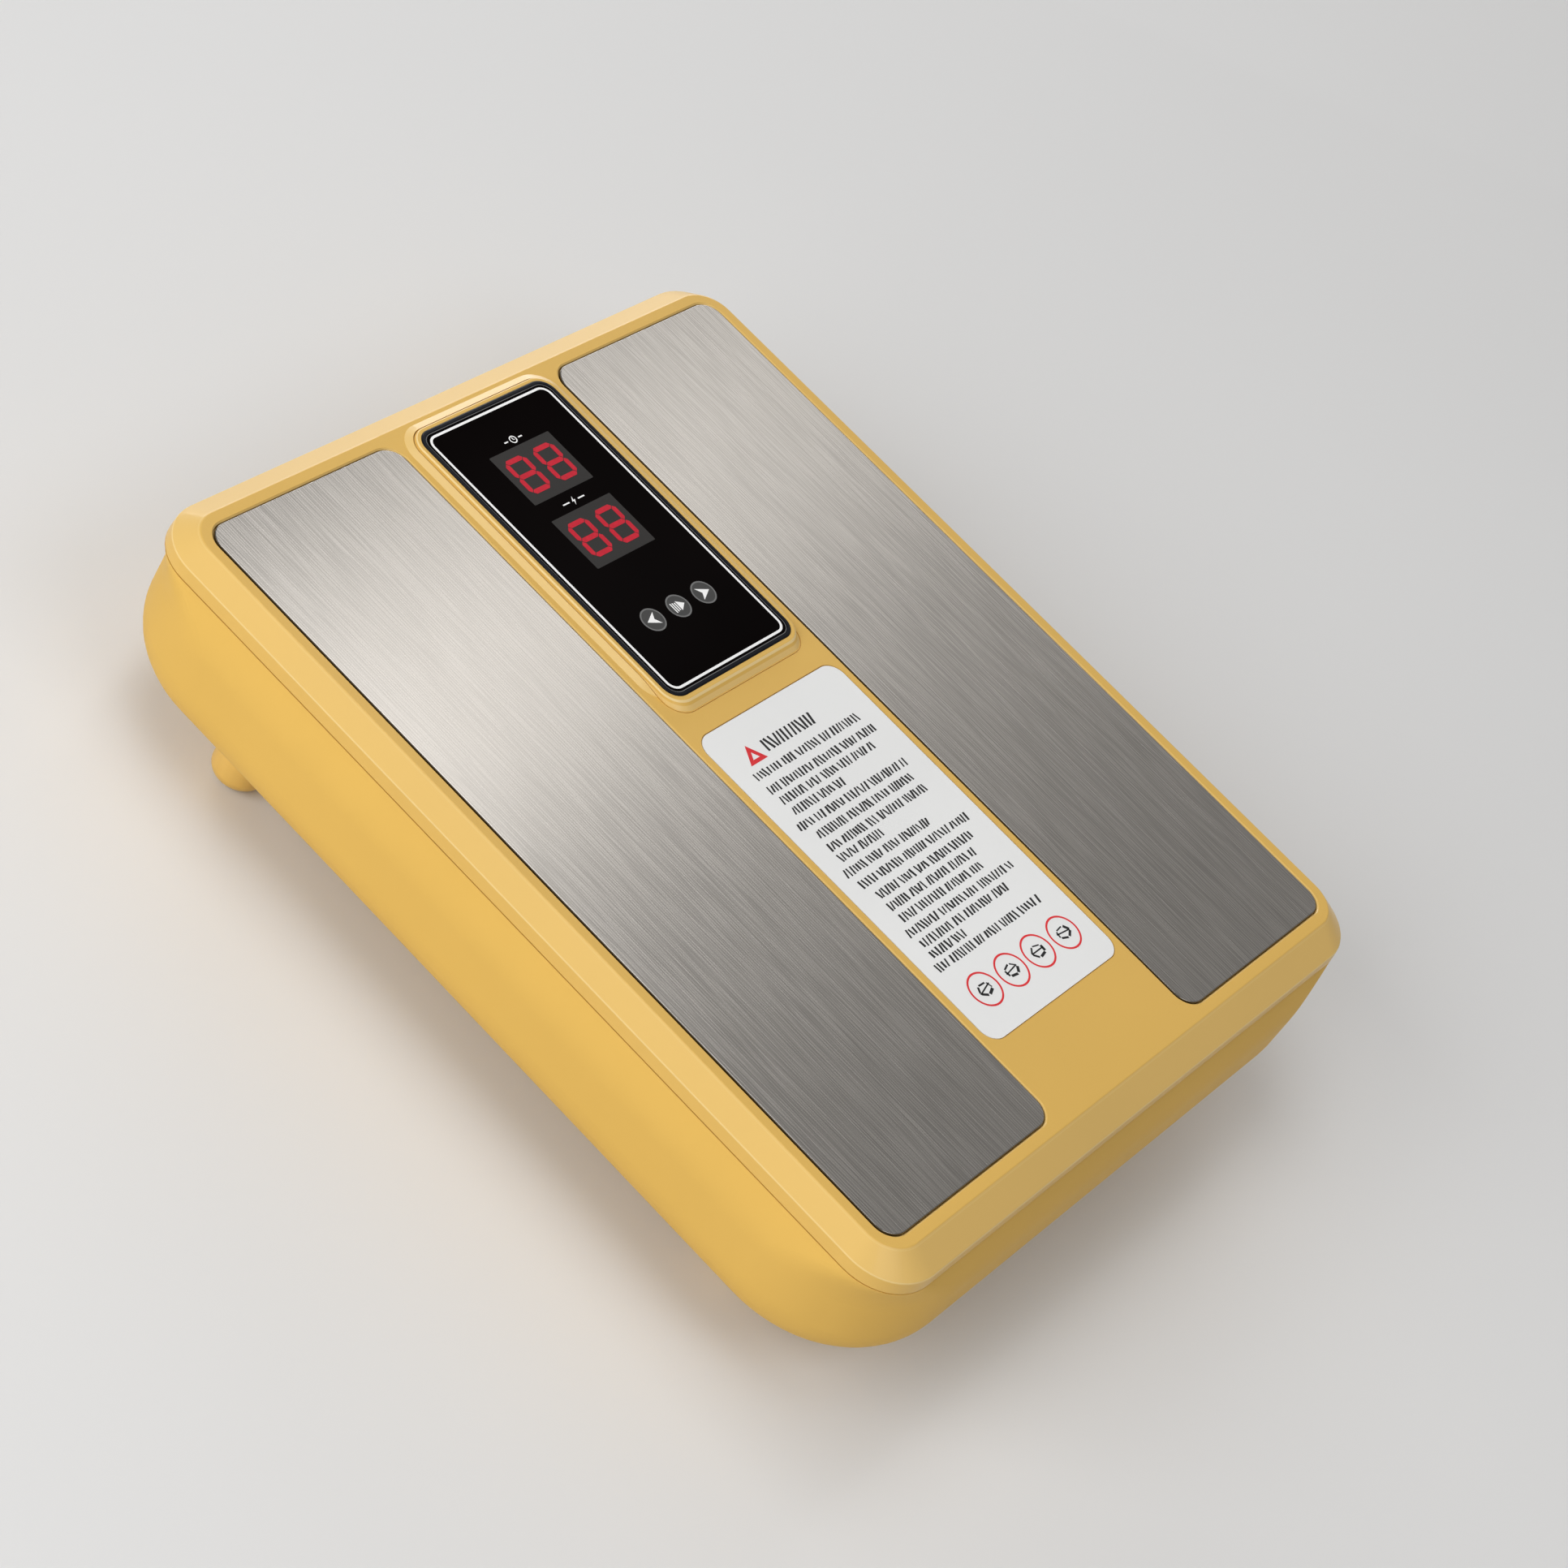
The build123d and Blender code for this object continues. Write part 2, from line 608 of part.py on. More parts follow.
winding = slab(21.6, 40, 4, 13.6, part_z + 5.2, core_x, power_y)
winding -= block(core_x - 6.2, core_x + 6.2, power_y - 14.2, power_y + 14.2,
                 part_z, part_z + 30)
bulk_capacitor = fillet(rod(9.0, part_z, part_z + 25, 92, 74).edges().group_by(Axis.Z)[-1], 1.0)
link_main = block(50, 66, -36, -30, part_z, part_z + 7)
link_coils = block(-66, -50, -36, -30, part_z, part_z + 7)
link_ribbon = block(-7, 7, -36, -30, part_z, part_z + 6)
link_power = block(34, 50, 24, 30, part_z, part_z + 7)
link_mains = block(30, 54, 93, 101, part_z, part_z + 9)
link_display = block(-7, 7, 44, 50, display_board_z - 5, display_board_z)
connectors = [link_main, link_coils, link_ribbon, link_power, link_mains, link_display]

# ---------------------------------------------------------------- fan
fan_z = floor_z + fan_boss_h
fan_frame = slab(fan_size, fan_size, 4, fan_h, fan_z, fan_x, fan_y)
fan_frame -= rod(fan_bore_r, fan_z - 1, fan_z + fan_h + 1, fan_x, fan_y)
for angle in (45, 135):
    strut = Pos(fan_x, fan_y, fan_z) * Rot(0, 0, angle) * Box(62, 4, 1.8, align=lower)
    fan_frame += strut
fan_frame += rod(hub_r, fan_z, fan_z + 2.0, fan_x, fan_y)
fan_frame += rod(4.0, fan_z, fan_z + 11.0, fan_x, fan_y)
fan_frame -= rod(shaft_r + bearing_gap, fan_z + 1.5, fan_z + 12.0, fan_x, fan_y)
for px, py in fan_points:
    fan_frame -= rod(small_screw_r + 0.4, fan_z - 1, fan_z + fan_h + 1, px, py)
cup_z = fan_z + 3.2
cup_top = fan_z + 13.8
fan_rotor = rod(hub_r, cup_z, cup_top, fan_x, fan_y)
fan_rotor = fillet(fan_rotor.edges().group_by(Axis.Z)[-1], 1.0)
fan_rotor -= rod(hub_r - 2.0, cup_z - 1, cup_top - 1.6, fan_x, fan_y)
fan_rotor += rod(shaft_r, fan_z + 2.2, cup_top - 1.0, fan_x, fan_y)
blade_r = fan_bore_r - blade_gap
blade_l = blade_r - hub_r + 0.8
blade_sweep = rod(blade_r, cup_z, cup_top, fan_x, fan_y)
for i in range(blade_count):
    turn = Pos(fan_x, fan_y, (cup_z + cup_top) / 2) * Rot(0, 0, i * 360 / blade_count)
    blade = turn * Pos(hub_r - 0.8 + blade_l / 2, 0, 0) * Rot(38, 0, 0) * Box(blade_l + 2, 13, 1.2)
    blade -= rod(hub_r - 1.0, fan_z, fan_z + fan_h, fan_x, fan_y)
    fan_rotor += blade & blade_sweep
fan_screws = [screw(small_head_r, small_head_h, small_screw_r, fan_z + fan_h, floor_z - 0.8,
                    px, py) for px, py in fan_points]

# ---------------------------------------------------------------- rear panel
panel_w = niche_w - 2 * panel_gap
panel_h = niche_h - 2 * panel_gap
z_low = niche_z - panel_h / 2
rear_panel = block(-panel_w / 2, panel_w / 2, niche_y, panel_face_y, z_low, z_low + panel_h)
rear_panel -= block(inlet_x - inlet_w / 2 - 0.2, inlet_x + inlet_w / 2 + 0.2, niche_y - 1,
                    panel_face_y + 1, niche_z - inlet_h / 2 - 0.2, niche_z + inlet_h / 2 + 0.2)
rear_panel -= block(switch_x - switch_w / 2 - 0.2, switch_x + switch_w / 2 + 0.2, niche_y - 1,
                    panel_face_y + 1, niche_z - switch_l / 2 - 0.2, niche_z + switch_l / 2 + 0.2)
rear_panel -= rod_y(fuse_body_r + 0.2, niche_y - 1, panel_face_y + 1, fuse_x, niche_z)
for side in (-1, 1):
    rear_panel -= rod_y(small_screw_r + 0.2, niche_y - 1, panel_face_y + 1,
                        side * panel_screw_x, niche_z)
    rear_panel -= rod_y(small_screw_r + thread_gap, niche_y - 1, panel_face_y + 1,
                        inlet_x + side * inlet_screw_pitch / 2, niche_z)
panel_screws = [screw_y(small_head_r, small_head_h, small_screw_r, panel_face_y, niche_y - 7,
                        side * panel_screw_x, niche_z) for side in (-1, 1)]

mouth_y = panel_face_y + flange_t
inlet_back_y = panel_face_y - inlet_depth
inlet = block(inlet_x - flange_w / 2, inlet_x + flange_w / 2, panel_face_y, mouth_y,
              niche_z - flange_h / 2, niche_z + flange_h / 2)
inlet = fillet(inlet.edges().filter_by(Axis.Y), 5)
inlet += block(inlet_x - inlet_w / 2, inlet_x + inlet_w / 2, inlet_back_y, panel_face_y + 0.5,
               niche_z - inlet_h / 2, niche_z + inlet_h / 2)
socket = block(inlet_x - socket_w / 2, inlet_x + socket_w / 2, mouth_y - socket_depth,
               mouth_y + 1, niche_z - socket_h / 2, niche_z + socket_h / 2)
socket = chamfer(socket.edges().filter_by(Axis.Y).group_by(Axis.Z)[-1], 4.5)
inlet -= socket
pins = []
pin_seats = ((-pin_pitch, -2.0), (0.0, 2.0), (pin_pitch, -2.0))
for dx, dz in pin_seats:
    px = inlet_x + dx
    pz = niche_z + dz
    inlet -= block(px - pin_t / 2 - 0.05, px + pin_t / 2 + 0.05, inlet_back_y - 1, mouth_y - 10,
                   pz - pin_w / 2 - 0.05, pz + pin_w / 2 + 0.05)
    pin = block(px - pin_t / 2, px + pin_t / 2, inlet_back_y - 6, mouth_y - pin_tip,
                pz - pin_w / 2, pz + pin_w / 2)
    pins.append(chamfer(pin.edges().group_by(Axis.Y)[-1], 0.5))
for side in (-1, 1):
    inlet -= rod_y(small_screw_r + 0.2, panel_face_y - 1, mouth_y + 1,
                   inlet_x + side * inlet_screw_pitch / 2, niche_z)
inlet_screws = [screw_y(small_head_r, small_head_h, small_screw_r, mouth_y, niche_y - 4,
                        inlet_x + side * inlet_screw_pitch / 2, niche_z) for side in (-1, 1)]

bezel_y = panel_face_y + switch_bezel
pivot_y = panel_face_y - 1.0
switch = block(switch_x - switch_w / 2 - 1, switch_x + switch_w / 2 + 1, panel_face_y, bezel_y,
               niche_z - switch_l / 2 - 1, niche_z + switch_l / 2 + 1)
switch += block(switch_x - switch_w / 2, switch_x + switch_w / 2, panel_face_y - switch_depth,
                panel_face_y + 0.2, niche_z - switch_l / 2, niche_z + switch_l / 2)
well = rocker_w / 2 + 0.3
switch -= block(switch_x - well, switch_x + well, panel_face_y - 9, bezel_y + 1,
                niche_z - rocker_half - rocker_room, niche_z + rocker_half + rocker_room)
pin_reach = well + 0.9
pivot_bore = Pos(switch_x, pivot_y, niche_z) * Rot(0, 90, 0) * Cylinder(
    rocker_pin_r + 0.04, 2 * (pin_reach + 0.1))
switch -= pivot_bore
rocker_face = Polyline((-rocker_half, 3.6), (0, 2.2), (rocker_half, 3.6), (rocker_half, 0.6),
                       (2.5, -3.2), (-2.5, -3.2), (-rocker_half, 0.6), close=True)
rocker = extrude(make_face(rocker_face), amount=rocker_w / 2, both=True)
rocker += Pos(0, 0, -pin_reach) * Cylinder(rocker_pin_r, 2 * pin_reach, align=lower)
rocker = Rot(0, 0, rocker_tilt) * rocker
rocker = Plane(origin=(switch_x, pivot_y, niche_z), x_dir=(0, 0, 1), z_dir=(-1, 0, 0)) * rocker
terminals = [block(switch_x - 3, switch_x + 3, panel_face_y - switch_depth - 7,
                   panel_face_y - switch_depth, z - 0.4, z + 0.4)
             for z in (niche_z - 6, niche_z + 6)]

fuse_mouth = panel_face_y + 2.0
fuse_back = panel_face_y - 29.0
holder = rod_y(fuse_body_r, fuse_back, panel_face_y + 0.2, fuse_x, niche_z)
holder += rod_y(fuse_flange_r, panel_face_y, fuse_mouth, fuse_x, niche_z)
holder -= rod_y(fuse_bore_r, fuse_back + 3, fuse_mouth + 1, fuse_x, niche_z)
holder += block(fuse_x - 2.4, fuse_x + 2.4, fuse_back - 6, fuse_back + 1, niche_z - 0.4,
                niche_z + 0.4)
holder_nut = rod_y(fuse_flange_r, niche_y - 3.2, niche_y, fuse_x, niche_z)
holder_nut -= rod_y(fuse_body_r + thread_gap, niche_y - 5, niche_y + 1, fuse_x, niche_z)
stem_y = fuse_mouth - 9.0
cap = rod_y(fuse_stem_r, stem_y, fuse_mouth + 0.3, fuse_x, niche_z)
knob = rod_y(fuse_knob_r, fuse_mouth + 0.2, fuse_mouth + 5.6, fuse_x, niche_z)
cap += fillet(knob.edges().group_by(Axis.Y)[-1], 1.0)
cap -= block(fuse_x - 5, fuse_x + 5, fuse_mouth + 4.6, fuse_mouth + 7, niche_z - 0.7,
             niche_z + 0.7)
fuse_end = stem_y + 3.0
cap -= rod_y(fuse_r + thread_gap, stem_y - 1, fuse_end, fuse_x, niche_z)
fuse = rod_y(fuse_r, fuse_end - fuse_l, fuse_end, fuse_x, niche_z)

# ---------------------------------------------------------------- feet
foot_low = foot_pad_proud
foot_form = rod(foot_r, foot_low, under_z)
foot_form = fillet(foot_form.edges().group_by(Axis.Z)[0], foot_round)
foot_form -= rod(pad_r + 0.1, foot_low - 1, foot_pad_t)
foot_form -= rod(small_head_r + 0.4, foot_low, 8.0)
foot_form -= rod(small_screw_r + 0.2, 0, under_z + 1)
rubber_form = fillet(rod(pad_r, 0, foot_pad_t).edges().group_by(Axis.Z)[0], 0.4)
feet = [Pos(px, py, 0) * foot_form for px, py in foot_points]
rubbers = [Pos(px, py, 0) * rubber_form for px, py in foot_points]
foot_screws = [screw(small_head_r, small_head_h, small_screw_r, 8.0,
                     floor_z + foot_boss_h - 2, px, py) for px, py in foot_points]
cover_screws = [screw(cover_head_r, cover_head_h, cover_screw_r, tower_shelf_z,
                      tower_shelf_z + 24, px, py) for px, py in post_points]

# ---------------------------------------------------------------- wiring
ribbon_cable = ribbon([(41.5, display_board_z - 2.5), (20, 52), (-16, 50), (-27.6, 40)], 11, 0.8)
ribbon_cable += block(-5.5, 5.5, 41.1, 44, display_board_z - 2.9, display_board_z - 2.1)
ribbon_cable += block(-5.5, 5.5, -30, -27.2, part_z + 3, part_z + 3.8)
ribbon_cable += block(-5.5, 5.5, -28.0, -27.2, part_z + 3, 40.3)
coil_leads = [
    wire([(-58, -30, part_z + 4), (-58, -22, part_z + 4), (-58, -22, 60), (-58, -22, tray_z)], 1.2),
    wire([(-53, -30, part_z + 4), (-53, -18, part_z + 4), (-53, -18, 54), (46, -18, 54),
          (50, -18, 58), (50, -18, tray_z)], 1.2),
    wire([(58, -30, part_z + 4), (58, -24, part_z + 4), (58, 0, part_z + 8), (42, 16, part_z + 4),
          (42, 24, part_z + 4)], 1.4),
]
pin_end_y = inlet_back_y - 6
mains_wires = []
for (dx, dz), end_x, dip in zip(pin_seats, (34, 42, 50), (5, 5, 5)):
    mains_wires.append(wire([(inlet_x + dx, pin_end_y, niche_z + dz),
                             (inlet_x + dx, pin_end_y - 6, niche_z + dz),
                             (end_x, 110, part_z + dip + 4), (end_x, 106, part_z + dip),
                             (end_x, 101, part_z + dip)], 1.4))
tab_y = panel_face_y - switch_depth - 7
mains_wires.append(wire([(fuse_x, fuse_back - 6, niche_z), (fuse_x, 116, niche_z),
                         (-14, 112, niche_z - 6), (switch_x, 126, niche_z - 6),
                         (switch_x, tab_y, niche_z - 6)], 1.4))
mains_wires.append(wire([(switch_x, tab_y, niche_z + 6), (switch_x, 122, niche_z + 6),
                         (26, 110, part_z + 8), (34, 101.0 + 1.2, part_z + 8)], 1.2))
fan_side_x = fan_x + fan_size / 2
fan_lead = wire([(fan_side_x, fan_y - 20, fan_z + 7), (fan_side_x + 6, fan_y - 20, fan_z + 7),
                 (-36, 36, fan_z + 7), (-36, -14, part_z + 4), (-63, -14, part_z + 4),
                 (-63, -30, part_z + 4)], 1.0)

# ---------------------------------------------------------------- output
nodes = {
    "top_cover": cover,
    "bottom_tub": tub,
    "left_foot_plate": plates["left"],
    "right_foot_plate": plates["right"],
    "left_plate_pad": pads["left"],
    "right_plate_pad": pads["right"],
    "plate_nuts": group(nuts),
    "display_glass": glass,
    "display_gasket": gasket,
    "info_label": label,
    "display_board": display_board,
    "display_chip": display_chip,
    "display_screws": group(display_screws),
    "time_led_module": led_modules["time"],
    "energy_led_module": led_modules["energy"],
    "touch_sensors": group(sensors),
    "left_coil": coils["left"],
    "right_coil": coils["right"],
    "left_coil_tray": trays["left"],
    "right_coil_tray": trays["right"],
    "tray_screws": group(tray_screws),
    "main_board": main_board,
    "controller_chip": controller,
    "board_capacitors": group(capacitors),
    "heatsink": heatsink,
    "power_transistors": group(transistors),
    "power_board": power_board,
    "transformer_core": core,
    "transformer_winding": winding,
    "bulk_capacitor": bulk_capacitor,
    "board_connectors": group(connectors),
    "board_screws": group(board_screws),
    "fan_frame": fan_frame,
    "fan_rotor": fan_rotor,
    "fan_screws": group(fan_screws),
    "rear_panel": rear_panel,
    "panel_screws": group(panel_screws),
    "inlet_body": inlet,
    "inlet_pins": group(pins),
    "inlet_screws": group(inlet_screws),
    "switch_body": switch,
    "switch_rocker": rocker,
    "switch_terminals": group(terminals),
    "fuse_holder": holder,
    "fuse_holder_nut": holder_nut,
    "fuse_cap": cap,
    "fuse": fuse,
    "rear_feet": group(feet[:2]),
    "front_feet": group(feet[2:]),
    "foot_pads": group(rubbers),
    "foot_screws": group(foot_screws),
    "cover_screws": group(cover_screws),
    "display_ribbon": ribbon_cable,
    "coil_leads": group(coil_leads),
    "mains_wires": group(mains_wires),
    "fan_lead": fan_lead,
}
os.makedirs("parts", exist_ok=True)
for name, shape in nodes.items():
    export_step(shape, "parts/" + name + ".step")
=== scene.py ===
import math
import random

import bmesh
import bpy
from mathutils import Matrix, Vector


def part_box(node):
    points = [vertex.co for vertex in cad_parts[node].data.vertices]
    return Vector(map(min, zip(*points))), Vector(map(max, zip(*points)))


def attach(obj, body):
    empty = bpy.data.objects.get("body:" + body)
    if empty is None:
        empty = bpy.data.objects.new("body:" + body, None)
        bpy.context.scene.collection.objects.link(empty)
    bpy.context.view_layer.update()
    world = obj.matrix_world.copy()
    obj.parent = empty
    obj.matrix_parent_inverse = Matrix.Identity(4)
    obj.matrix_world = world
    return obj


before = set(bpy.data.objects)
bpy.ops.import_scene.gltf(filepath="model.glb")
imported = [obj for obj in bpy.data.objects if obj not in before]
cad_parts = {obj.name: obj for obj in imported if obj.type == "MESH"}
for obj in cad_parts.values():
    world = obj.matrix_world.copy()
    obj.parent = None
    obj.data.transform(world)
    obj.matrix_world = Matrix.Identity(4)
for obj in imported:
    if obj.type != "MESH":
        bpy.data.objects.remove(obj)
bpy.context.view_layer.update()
scene = bpy.context.scene
MM = 0.001


# ------------------------------------------------------------ shader helpers
def feed(tree, node, inputs):
    """Give a node's inputs, by name or number, a value or a link to a socket."""
    for key, value in inputs.items():
        if isinstance(value, bpy.types.NodeSocket):
            tree.links.new(value, node.inputs[key])
        else:
            node.inputs[key].default_value = value
    return node.outputs


def add_node(tree, kind, inputs):
    """New node, as its outputs."""
    return feed(tree, tree.nodes.new(kind), inputs)


def calc(tree, operation, *values):
    """Math on numbers or sockets."""
    node = tree.nodes.new("ShaderNodeMath")
    node.operation = operation
    return feed(tree, node, dict(enumerate(values)))["Value"]


def map_range(tree, value, inputs, curve="LINEAR"):
    """A value moved from one range to another; ends not given are 0 and 1."""
    node = tree.nodes.new("ShaderNodeMapRange")
    node.interpolation_type = curve
    return feed(tree, node, {"Value": value, **inputs})["Result"]


def mix_colour(tree, factor, first, second):
    """The first colour at factor 0, the second at 1."""
    node = tree.nodes.new("ShaderNodeMix")
    node.data_type = "RGBA"
    return feed(tree, node, {"Factor": factor, "A": first, "B": second})["Result"]


def two_tones(tree, value, low, high, dark, light):
    """Colour ramp from dark at low to light at high."""
    node = tree.nodes.new("ShaderNodeValToRGB")
    for element, place, tone in zip(node.color_ramp.elements, (low, high), (dark, light)):
        element.position = place
        element.color = tone
    return feed(tree, node, {"Fac": value})["Color"]


def relief(tree, height, strength, distance):
    """Bumped normal; the distance is in metres."""
    return add_node(tree, "ShaderNodeBump", {"Strength": strength, "Distance": distance,
                                             "Height": height})["Normal"]


def split_axes(tree, vector):
    """A vector's X, Y and Z."""
    return add_node(tree, "ShaderNodeSeparateXYZ", {"Vector": vector})


def stretched(tree, vector, scale):
    """Coordinates scaled on each axis."""
    return add_node(tree, "ShaderNodeMapping", {"Scale": scale, "Vector": vector})["Vector"]


def shade(rgb, k):
    """A colour made lighter or darker."""
    return tuple(min(1.0, c * k) for c in rgb) + (1.0,)


def new_material(name):
    """Material with its node tree, its shader and the part's own coordinates."""
    mat = bpy.data.materials.new(name)
    mat.use_nodes = True
    tree = mat.node_tree
    place = add_node(tree, "ShaderNodeTexCoord", {})["Object"]
    return mat, tree, tree.nodes["Principled BSDF"], place


# ------------------------------------------------------------ materials
DRIFT_RAMP = (0.3, 0.7)    # noise levels at which the drift is darkest and lightest
DRIFT_DETAIL = 4.0
GRAIN_DETAIL = 3.0
GRAIN_DEPTH = 0.0002       # m, height of the fine grain
# Edges are paled both as wear and as a painted sheen on creases.
WEAR_AND_SHEEN_FROM, WEAR_AND_SHEEN_TO = 0.52, 0.62    # pointiness at which an edge starts to pale, and is pale, as wear and as a painted sheen
WEAR_AND_SHEEN_SHADE = 1.35


def material(name, rgb, rough=0.5, metal=0.0, vary=0.06, vary_scale=18.0, grain=1500.0,
             bump=0.05, stretch=(1.0, 1.0, 1.0), rough_vary=0.06, coat=0.0, coat_rough=0.12,
             specular=0.5, wear_and_sheen=0.0, glow=0.0, sheen_bands=(), sheen_rgb=(1.0, 1.0, 1.0)):
    """Procedural surface: slow colour drift, fine grain in bump and gloss, pale edges for wear
    and painted sheen.

    Each sheen band (height, half width, strength) paints a pale highlight on the part all round
    at a height, in mm.
    """
    mat, tree, shader, place = new_material(name)
    shader.inputs["Metallic"].default_value = metal
    shader.inputs["Coat Weight"].default_value = coat
    shader.inputs["Coat Roughness"].default_value = coat_rough
    shader.inputs["Specular IOR Level"].default_value = specular
    drift = add_node(tree, "ShaderNodeTexNoise",
                     {"Scale": vary_scale, "Detail": DRIFT_DETAIL, "Vector": place})["Fac"]
    colour = two_tones(tree, drift, *DRIFT_RAMP, shade(rgb, 1.0 - vary),
                       shade(rgb, 1.0 + vary))
    # Pale edges by pointiness: wear, and a painted sheen on creases.
    if wear_and_sheen:
        point = add_node(tree, "ShaderNodeNewGeometry", {})["Pointiness"]
        wear_and_sheen_mask = map_range(tree, point, {"From Min": WEAR_AND_SHEEN_FROM, "From Max": WEAR_AND_SHEEN_TO,
                                       "To Max": wear_and_sheen})
        colour = mix_colour(tree, wear_and_sheen_mask, colour, shade(rgb, WEAR_AND_SHEEN_SHADE))
    # Painted highlights: pale bands all round at given heights.
    if sheen_bands:
        height = split_axes(tree, place)["Z"]
    for level, half_width, strength in sheen_bands:
        in_sheen_band = calc(tree, "COMPARE", height, level * MM, half_width * MM)
        colour = mix_colour(tree, calc(tree, "MULTIPLY", in_sheen_band, strength), colour,
                            shade(sheen_rgb, 1.0))
    tree.links.new(colour, shader.inputs["Base Color"])
    fine = add_node(tree, "ShaderNodeTexNoise",
                    {"Scale": grain, "Detail": GRAIN_DETAIL,
                     "Vector": stretched(tree, place, stretch)})["Fac"]
    gloss = map_range(tree, fine, {"To Min": max(0.02, rough - rough_vary),
                                   "To Max": rough + rough_vary})
    tree.links.new(gloss, shader.inputs["Roughness"])
    if bump:
        tree.links.new(relief(tree, fine, bump, GRAIN_DEPTH), shader.inputs["Normal"])
    if glow:
        shader.inputs["Emission Color"].default_value = shade(rgb, 1.0)
        shader.inputs["Emission Strength"].default_value = glow
    return mat


STRIPE_SCALE = 330.0       # brush stripes just under a millimetre apart
STRIPE_WANDER = 3.5
STRIPE_STRETCH = (1.0, 0.07, 0.02)
SCRATCH_SCALE = (2600.0, 60.0, 20.0)
STRIPE_SHARE, SCRATCH_SHARE = 0.28, 0.72
LINE_RAMP = (0.34, 0.66)   # line levels of the darkest and lightest steel
LINE_SHADES = (0.90, 1.10)
STEEL_ROUGH = (0.17, 0.30)
LINE_BUMP = 0.035
LINE_DEPTH = 0.0001        # m, height of the brush lines
PAINTED_SHADE_SLOPE = (0.90, 0.995)     # upward share of the normal where the painted edge shade is darkest, and ends
EDGE_PAINTED_SHADE = 0.45          # painted shade darkens the rounded edge of a plate


def brushed_steel(name, rgb):
    """Stainless sheet with brush lines along Y and painted shade on its rounded edge."""
    mat, tree, shader, place = new_material(name)
    shader.inputs["Metallic"].default_value = 1.0
    shader.inputs["Anisotropic"].default_value = 0.85
    wave = tree.nodes.new("ShaderNodeTexWave")
    wave.wave_type = "BANDS"
    wave.bands_direction = "X"
    stripes = feed(tree, wave, {"Scale": STRIPE_SCALE, "Distortion": STRIPE_WANDER,
                                "Detail": 1.0, "Detail Scale": 1.0,
                                "Vector": stretched(tree, place, STRIPE_STRETCH)})["Fac"]
    scratches = add_node(tree, "ShaderNodeTexNoise",
                         {"Scale": 1.0, "Detail": 0.0,
                          "Vector": stretched(tree, place, SCRATCH_SCALE)})["Fac"]
    lines = calc(tree, "MULTIPLY_ADD", scratches, SCRATCH_SHARE,
                 calc(tree, "MULTIPLY", stripes, STRIPE_SHARE))
    colour = two_tones(tree, lines, *LINE_RAMP, *(shade(rgb, k) for k in LINE_SHADES))
    # Painted shade: darker where the plate turns down at its rounded edge.
    normal = add_node(tree, "ShaderNodeNewGeometry", {})["Normal"]
    edge_shade_mask = map_range(tree, split_axes(tree, normal)["Z"],
                       {"From Min": PAINTED_SHADE_SLOPE[0], "From Max": PAINTED_SHADE_SLOPE[1],
                        "To Min": 1.0, "To Max": 0.0})
    colour = mix_colour(tree, edge_shade_mask, colour, shade(rgb, EDGE_PAINTED_SHADE))
    tree.links.new(colour, shader.inputs["Base Color"])
    gloss = map_range(tree, lines, {"To Min": STEEL_ROUGH[0], "To Max": STEEL_ROUGH[1]})
    tree.links.new(gloss, shader.inputs["Roughness"])
    tree.links.new(relief(tree, lines, LINE_BUMP, LINE_DEPTH), shader.inputs["Normal"])
    tangent = tree.nodes.new("ShaderNodeTangent")
    tangent.direction_type = "RADIAL"
    tangent.axis = "Y"
    tree.links.new(tangent.outputs["Tangent"], shader.inputs["Tangent"])
    return mat


GOLD = (0.745, 0.465, 0.112)
MOULDED = {"vary": 0.03, "vary_scale": 9.0, "grain": 2600.0, "rough_vary": 0.05}
LACQUER = {"rough": 0.42, "coat": 0.25, "coat_rough": 0.16, "specular": 0.25}
# Painted highlights on the cover, pale bands all round: chamfer, its lower and upper crease,
# apron and top rim of the bezel.
COVER_SHEEN_BANDS = ((75.2, 2.75, 0.11), (72.35, 0.22, 0.30), (78.05, 0.20, 0.14),
               (78.95, 0.50, 0.22), (80.3, 0.25, 0.5))
gold = material("gold_moulding", GOLD, wear_and_sheen=0.35, **MOULDED, **LACQUER)
gold_tub = material("gold_tub", GOLD, rough=0.46, specular=0.04, wear_and_sheen=0.35, **MOULDED)
gold_cover = material("gold_cover", GOLD, sheen_bands=COVER_SHEEN_BANDS, sheen_rgb=(0.98, 0.84, 0.50),
                      **MOULDED, **LACQUER)
steel = brushed_steel("brushed_steel", (0.630, 0.600, 0.562))
zinc = material("zinc_plate", (0.62, 0.62, 0.60), rough=0.32, metal=1.0, vary=0.08,
                vary_scale=160.0, grain=3000.0, bump=0.08)
glass_black = material("black_glass", (0.0020, 0.0011, 0.0011), rough=0.09, vary=0.2,
                       grain=900.0, bump=0.004, rough_vary=0.02, specular=0.015)
rim_black = material("gasket_rubber", (0.005, 0.006, 0.010), rough=0.38, vary=0.15,
                     grain=3200.0, bump=0.05, specular=0.15)
film_white = material("label_film", (0.86, 0.865, 0.86), rough=0.5, vary=0.015, grain=2200.0,
                      bump=0.03)
